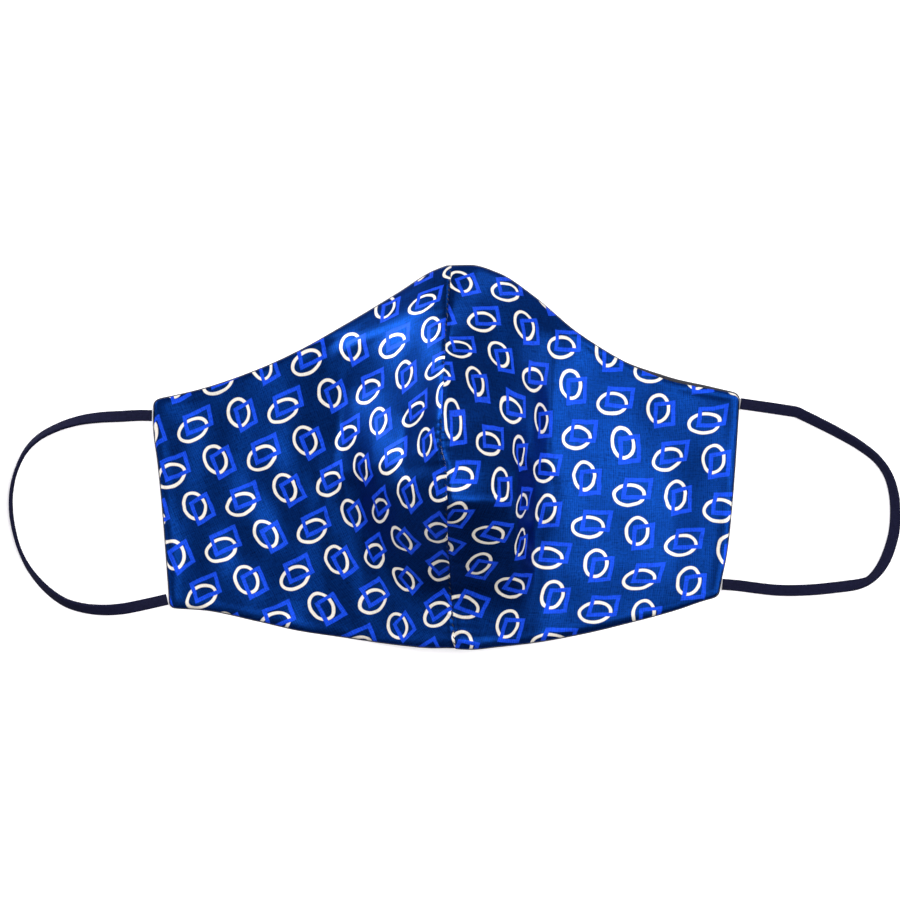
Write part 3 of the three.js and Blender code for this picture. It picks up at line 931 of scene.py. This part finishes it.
def drawn(side, points):
    """Shift of the print at each point of a panel."""
    total = np.zeros(points.shape[:2] + (2,))
    weight = np.full(points.shape[:2], LEAST_WEIGHT)
    for x, y, shift_x, shift_y in DRAWN[side]:
        away = np.hypot(points[..., 0] - x * MM, points[..., 1] - y * MM) / (DRAWN_REACH * MM)
        near = np.exp(-away * away / 2)
        total += near[..., None] * np.array([shift_x, shift_y]) * MM
        weight += near
    return total / weight[..., None]


def fine_panel(side, cloth):
    """Fine grid of a panel with its place on the flat cloth."""
    points, lifts, edges = panel_grid(side, cloth)
    ups = edges["bottom"][:, 0] / (edges["bottom"][:, 0] + edges["top"][:, 0])
    flat = unrolled(side)(edges["seam"], ups) + drawn(side, points)
    return points, lifts, edges, flat


def raised(points, heights):
    """Copy of a grid of points, each lifted by its height."""
    result = points.copy()
    result[..., 2] += heights
    return result


class MASK_OT_outer_panels(bpy.types.Operator):
    """Makes the two printed satin panels"""

    bl_idname = "mask.outer_panels"
    bl_label = "Satin panels"

    def execute(self, context):
        cloth = context.scene.mask_cloth
        repeat = shared_group("printed_repeat", print_group)
        weave = shared_group("woven_threads", weave_group)
        for side in SIDES:
            points, lifts, edges, flat = fine_panel(side, cloth)
            start = LINING_WALL + PIECE_GAP
            low = raised(points, start * lifts)
            wall = (start + OUTER_WALL) * lifts
            high = raised(points, wall + relief(side, points, edges, cloth))
            high[..., 2] = np.maximum(high[..., 2], low[..., 2] + LEAST_WALL)
            mesh = shell_mesh(f"satin_panel_{side}", low, high, side, flat)
            material = satin_material(side, context.scene.mask_print, repeat, weave)
            piece = add_piece(f"satin_panel_{side}", mesh, material)
            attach(piece, "root")
            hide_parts(f"outer_{side}")
        return {"FINISHED"}


class MASK_OT_lining(bpy.types.Operator):
    """Makes the two dark lining panels behind the satin"""

    bl_idname = "mask.lining"
    bl_label = "Lining"

    def execute(self, context):
        cloth = context.scene.mask_cloth
        weave = shared_group("woven_threads", weave_group)
        material = lining_material(weave)
        for side in SIDES:
            points, lifts, edges, flat = fine_panel(side, cloth)
            share = curve(LINING_ROLLS[side]["out"], LINING_ROLLS[side]["share"])
            roll = LINING_ROLL * share(np.abs(points[-1, :, 0]) / HALF_WIDTH)
            draw = {key: np.clip(1 - edges[key] / LINING_DRAW, 0, 1) for key in edges}
            points[..., 1] += (LINING_PEEK + roll) * draw["top"] - LINING_PEEK * draw["bottom"]
            points[..., 0] += DIRECTION[side] * LINING_PEEK * draw["side"]
            _, drop = hem_drop(edges, cloth)
            high = raised(points, LINING_WALL * lifts - LINING_ROUNDS[0] * drop)
            low = raised(points, LINING_ROUNDS[1] * drop)
            mesh = shell_mesh(f"lining_cloth_{side}", low, high, side, flat)
            piece = add_piece(f"lining_cloth_{side}", mesh, material)
            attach(piece, "root")
            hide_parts(f"lining_{side}")
        return {"FINISHED"}


def loop_stops(side):
    """Route of one elastic from hem to hem, with the roll at each stop, in metres and radians."""
    stops = []
    for x, y, roll in LOOP_ROUTES[side]:
        angle = math.radians(roll)
        rest = BAND_WIDTH / 2 * math.sin(angle) + BAND_THICKNESS / 2 * math.cos(angle)
        stops.append(((x * MM, y * MM, rest), angle))
    middle = (LINING_WALL + PIECE_GAP + OUTER_WALL) / 2
    top, bottom = HEMS[side]["top"][-1], HEMS[side]["bottom"][-1]
    ends = []
    for share in LOOP_ENDS[side]:
        x = float(hem_x(side, (share - bottom) / (top - bottom))) + DIRECTION[side] * LOOP_GAP
        ends.append(((x, HALF_HEIGHT * share, middle), 0.0))
    return [ends[0], *stops, ends[1]]


def running(steps):
    """Sums of the steps so far, from 0 on."""
    return np.concatenate([[0], np.cumsum(steps)])


def spline(points, steps):
    """Points evenly along a smooth line through chosen points, and the share of each stop."""
    points = np.asarray(points, float)
    knots = running(np.linalg.norm(np.diff(points, axis=0), axis=1) ** 0.5)
    padded = np.vstack([2 * points[0] - points[1], points, 2 * points[-1] - points[-2]])
    first = np.concatenate([[-knots[1]], knots, [2 * knots[-1] - knots[-2]]])
    dense, places = [], []
    for i in range(len(points) - 1):
        knot = first[i:i + 4]
        for t in np.linspace(knot[1], knot[2], SPLINE_STEPS, endpoint=False):
            row = padded[i:i + 4]
            for pairs in (((0, 1), (1, 2), (2, 3)), ((0, 2), (1, 3)), ((1, 2),)):
                shares = [(t - knot[a]) / (knot[b] - knot[a]) for a, b in pairs]
                row = [(1 - s) * row[k] + s * row[k + 1] for k, s in enumerate(shares)]
            dense.append(row[0])
            places.append(i + shares[0])
    dense, places = np.array([*dense, points[-1]]), [*places, len(points) - 1]
    run = running(np.linalg.norm(np.diff(dense, axis=0), axis=1))
    even = np.linspace(0, run[-1], steps + 1)
    line = np.stack([np.interp(even, run, dense[:, k]) for k in range(3)], axis=1)
    return line, np.interp(even, run, places), run[-1]


def band_section():
    """Section of the flat elastic: rounded edges and a few low ribs along both faces."""
    turns = np.linspace(0, math.tau, SECTION_POINTS, endpoint=False)
    wide, thick = (
        np.sign(wave) * np.abs(wave) ** SECTION_POWER * size / 2
        for wave, size in ((np.cos(turns), BAND_WIDTH), (np.sin(turns), BAND_THICKNESS))
    )
    rib = 1 - RIB_DEPTH * (1 - np.cos(wide / BAND_WIDTH * math.tau * SECTION_RIBS)) / 2
    around = running(np.hypot(np.diff(wide), np.diff(thick)))
    return wide, thick * rib, around


class MASK_OT_ear_loops(bpy.types.Operator):
    """Makes the flat elastic ear loops"""

    bl_idname = "mask.ear_loops"
    bl_label = "Ear loops"

    def execute(self, context):
        material = elastic_material()
        across, thick, around = band_section()
        count = len(across)
        index = np.arange((LOOP_STEPS + 1) * count).reshape(LOOP_STEPS + 1, count)
        following = np.roll(index, -1, axis=1)
        quads = np.stack([index[:-1], following[:-1], following[1:], index[1:]], axis=2)
        faces = quads.reshape(-1, 4).tolist() + [index[0, ::-1].tolist(), index[-1].tolist()]
        for side in SIDES:
            stops = loop_stops(side)
            line, places, length = spline([stop[0] for stop in stops], LOOP_STEPS)
            angles = np.interp(places, np.arange(len(stops)), [stop[1] for stop in stops])
            along = unit(np.gradient(line, axis=0))
            level = unit(np.cross((0, 0, 1), along))
            upright = np.cross(along, level)
            cosine, sine = np.cos(angles)[:, None], np.sin(angles)[:, None]
            wide = level * cosine + upright * sine
            deep = upright * cosine - level * sine
            rings = line[:, None] + wide[:, None] * across[:, None]
            rings += deep[:, None] * thick[:, None]
            rings[..., 2] = np.maximum(rings[..., 2], 0)
            run = np.linspace(0, length, LOOP_STEPS + 1)
            flat = np.stack(np.broadcast_arrays(run[:, None], around), axis=2).reshape(-1, 2)
            mesh = cloth_mesh(f"elastic_{side}", rings.reshape(-1, 3), faces, flat)
            piece = add_piece(f"elastic_{side}", mesh, material)
            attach(piece, "root")
            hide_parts(f"ear_loop_{side}")
        return {"FINISHED"}


def stitch_tree():
    """Geometry tree that sets small slanted stitches along the seam's line."""
    tree = bpy.data.node_groups.new("seam_stitches", "GeometryNodeTree")
    sockets = {}
    for label in ("Geometry", "Pitch", "Length", "Thread", "Material"):
        kind = label if label in ("Geometry", "Material") else "Float"
        socket = tree.interface.new_socket(
            label, in_out="INPUT", socket_type=f"NodeSocket{kind}"
        )
        sockets[label] = socket.identifier
    tree.interface.new_socket("Geometry", in_out="OUTPUT", socket_type="NodeSocketGeometry")

    def add(kind, inputs=(), output=0, **settings):
        return add_node(tree, kind, inputs, **settings).outputs[output]

    source = tree.nodes.new("NodeGroupInput").outputs
    line = add("GeometryNodeMeshToCurve", {"Mesh": source["Geometry"]})
    inputs = {"Curve": line, "Length": source["Pitch"]}
    places = add("GeometryNodeResampleCurve", inputs, mode="LENGTH")
    segments, rings = STITCH_DIVISIONS
    ball = add("GeometryNodeMeshUVSphere", {"Segments": segments, "Rings": rings, "Radius": 0.5})
    inputs = {"X": source["Thread"], "Y": source["Length"], "Z": source["Thread"]}
    size = add("ShaderNodeCombineXYZ", inputs)
    stitch = add("GeometryNodeTransform", {"Geometry": ball, "Scale": size})
    tangent = add("GeometryNodeInputTangent")
    align = add("FunctionNodeAlignRotationToVector", {"Vector": tangent}, axis="Y")
    inputs = {2: STITCH_SLANT[0], 3: STITCH_SLANT[1], "Seed": STITCH_SEED}
    slant = add("FunctionNodeRandomValue", inputs, output=1, data_type="FLOAT")
    turn = add("ShaderNodeCombineXYZ", {"Z": slant})
    inputs = {"Rotation": align, "Rotate By": turn}
    turned = add("FunctionNodeRotateRotation", inputs, rotation_space="GLOBAL")
    inputs = {"Points": places, "Instance": stitch, "Rotation": turned}
    placed = add("GeometryNodeInstanceOnPoints", inputs)
    real = add("GeometryNodeRealizeInstances", {"Geometry": placed})
    inputs = {"Geometry": real, "Material": source["Material"]}
    finished = add("GeometryNodeSetMaterial", inputs)
    result = tree.nodes.new("NodeGroupOutput")
    tree.links.new(finished, result.inputs["Geometry"])
    return tree, sockets


class MASK_OT_stitches(bpy.types.Operator):
    """Makes the stitches along the centre seam"""

    bl_idname = "mask.stitches"
    bl_label = "Seam stitches"

    def execute(self, context):
        sizes = context.scene.mask_stitches
        cloth = context.scene.mask_cloth
        satin = bpy.data.objects.get("satin_panel_left")
        if satin is None:
            raise RuntimeError("the satin panels come before the stitches")
        surface = BVHTree.FromObject(satin, context.evaluated_depsgraph_get())
        points, _, _ = panel_grid("left", cloth)
        line = []
        for x, y, _ in points[STITCH_ROWS, 0]:
            hit, *_ = surface.ray_cast(Vector((x - STITCH_INSET, y, 1)), Vector((0, 0, -1)))
            if hit is None:
                raise RuntimeError("a stitch misses the satin")
            place = STITCH_INSET * STITCH_PLACE, 0, sizes.thread * STITCH_RISE
            line.append(hit + Vector(place))
        mesh = bpy.data.meshes.new("seam_line")
        mesh.from_pydata(line, [(i, i + 1) for i in range(len(line) - 1)], [])
        material = thread_material()
        guide = add_piece("seam_line", mesh, material)
        tree, sockets = stitch_tree()
        modifier = guide.modifiers.new("stitches", "NODES")
        modifier.node_group = tree
        for label in ("Pitch", "Length", "Thread"):
            modifier[sockets[label]] = getattr(sizes, label.lower())
        modifier[sockets["Material"]] = material
        evaluated = guide.evaluated_get(context.evaluated_depsgraph_get())
        stitches = bpy.data.meshes.new_from_object(evaluated)
        stitches.name = "seam_stitches"
        bpy.data.objects.remove(guide)
        stitches.shade_smooth()
        piece = add_piece("seam_stitches", stitches, material)
        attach(piece, "root")
        return {"FINISHED"}


# Area lights that face the origin: bearing and height in degrees, size in metres, the
# setting that gives the power, and the light's share of it.
LIGHT_DISTANCE = 2.2
LIGHTS = {
    "key_light": (150, 12, 0.8, "key_power", 1),
    "back_light": (60, 12, 0.8, "key_power", 1 / 4),
    "side_light": (0, 12, 0.8, "key_power", 1 / 4),
    "top_light": (15, 64, 1.6, "fill_power", 1),
    "west_light": (200, 42, 1.0, "fill_power", 1 / 6),
}

# Half the floor's side. The table sends less light onto the mask than the camera sees on it.
FLOOR_REACH = 3
FLOOR_CORNERS = ((-1, -1), (1, -1), (1, 1), (-1, 1))
FLOOR_COLOUR = (0.4, 0.4, 0.41, 1)
FLOOR_SEEN = (0.9, 0.9, 0.91, 1)
FLOOR_GLOW = 0.35


def add_object(name, data, location):
    """New object in the scene at a place."""
    item = bpy.data.objects.new(name, data)
    item.location = location
    bpy.context.scene.collection.objects.link(item)
    return item


def area_light(name, settings):
    """Square light of the table, which faces the origin."""
    bearing, height, size, power, share = LIGHTS[name]
    light = bpy.data.lights.new(name, "AREA")
    light.size = size
    light.energy = getattr(settings, power) * share
    turn, rise = math.radians(bearing), math.radians(height)
    level = math.cos(rise)
    away = Vector((level * math.cos(turn), level * math.sin(turn), math.sin(rise)))
    lamp = add_object(name, light, away * LIGHT_DISTANCE)
    lamp.rotation_euler = (-away).to_track_quat("-Z", "Y").to_euler()


class MASK_OT_stage(bpy.types.Operator):
    """Makes the floor, the lights and the camera"""

    bl_idname = "mask.stage"
    bl_label = "Stage"

    def execute(self, context):
        settings = context.scene.mask_stage
        material, tree, shader = new_material("white_table")
        seen = add_node(tree, "ShaderNodeLightPath").outputs["Is Camera Ray"]
        set_inputs(tree, shader, {
            "Base Color": mix_colour(tree, seen, FLOOR_COLOUR, FLOOR_SEEN),
            "Roughness": 0.9,
            "Specular IOR Level": 0.1,
            "Emission Color": (1, 0.96, 1, 1),
            "Emission Strength": math_node(tree, "MULTIPLY", seen, FLOOR_GLOW),
        })
        mesh = bpy.data.meshes.new("floor")
        corners = [(x * FLOOR_REACH, y * FLOOR_REACH, 0) for x, y in FLOOR_CORNERS]
        mesh.from_pydata(corners, [], [(0, 1, 2, 3)])
        add_piece("floor", mesh, material)

        for name in LIGHTS:
            area_light(name, settings)
        world = bpy.data.worlds.new("studio")
        world.use_nodes = True
        sky = world.node_tree.nodes["Background"]
        sky.inputs["Color"].default_value = (0.95, 0.97, 1, 1)
        sky.inputs["Strength"].default_value = 0.08
        context.scene.world = world
        context.scene.view_settings.view_transform = "Standard"

        camera = bpy.data.cameras.new("photo_camera")
        camera.sensor_width = 36
        camera.lens = camera.sensor_width * settings.distance / (PHOTO_SIDE * PIXEL)
        camera.clip_end = 10
        across = PHOTO_SIDE / 2 - ORIGIN_PIXEL[0]
        upward = ORIGIN_PIXEL[1] - PHOTO_SIDE / 2
        place = (across * PIXEL, upward * PIXEL, settings.distance)
        context.scene.camera = add_object("photo_camera", camera, place)
        return {"FINISHED"}


class MASK_PT_panel(bpy.types.Panel):
    """Lists the mask's settings and the steps that make it"""

    bl_idname = "MASK_PT_panel"
    bl_label = "Face mask"
    bl_space_type = "VIEW_3D"
    bl_region_type = "UI"
    bl_category = "Face mask"

    def draw(self, context):
        for group in ("mask_cloth", "mask_print", "mask_stitches", "mask_stage"):
            box = self.layout.box()
            settings = getattr(context.scene, group)
            for name in settings.bl_rna.properties.keys():
                if name not in ("rna_type", "name"):
                    box.prop(settings, name)
        for operator in OPERATORS:
            self.layout.operator(operator.bl_idname)


SETTINGS = {
    "mask_cloth": MaskCloth,
    "mask_print": MaskPrint,
    "mask_stitches": MaskStitches,
    "mask_stage": MaskStage,
}
OPERATORS = (
    MASK_OT_stage, MASK_OT_ear_loops, MASK_OT_outer_panels, MASK_OT_lining, MASK_OT_stitches,
)


def register():
    """Registers the settings, the operators and the panel."""
    for name, group in SETTINGS.items():
        bpy.utils.register_class(group)
        setattr(bpy.types.Scene, name, bpy.props.PointerProperty(type=group))
    for cls in (*OPERATORS, MASK_PT_panel):
        bpy.utils.register_class(cls)


def unregister():
    """Takes back what register did."""
    for cls in (MASK_PT_panel, *reversed(OPERATORS)):
        bpy.utils.unregister_class(cls)
    for name, group in reversed(SETTINGS.items()):
        delattr(bpy.types.Scene, name)
        bpy.utils.unregister_class(group)


def main():
    """Makes the mask and its stage."""
    register()
    bpy.ops.mask.stage()
    bpy.ops.mask.ear_loops()
    bpy.ops.mask.outer_panels()
    bpy.ops.mask.lining()
    bpy.ops.mask.stitches()


if __name__ == "__main__":
    main()
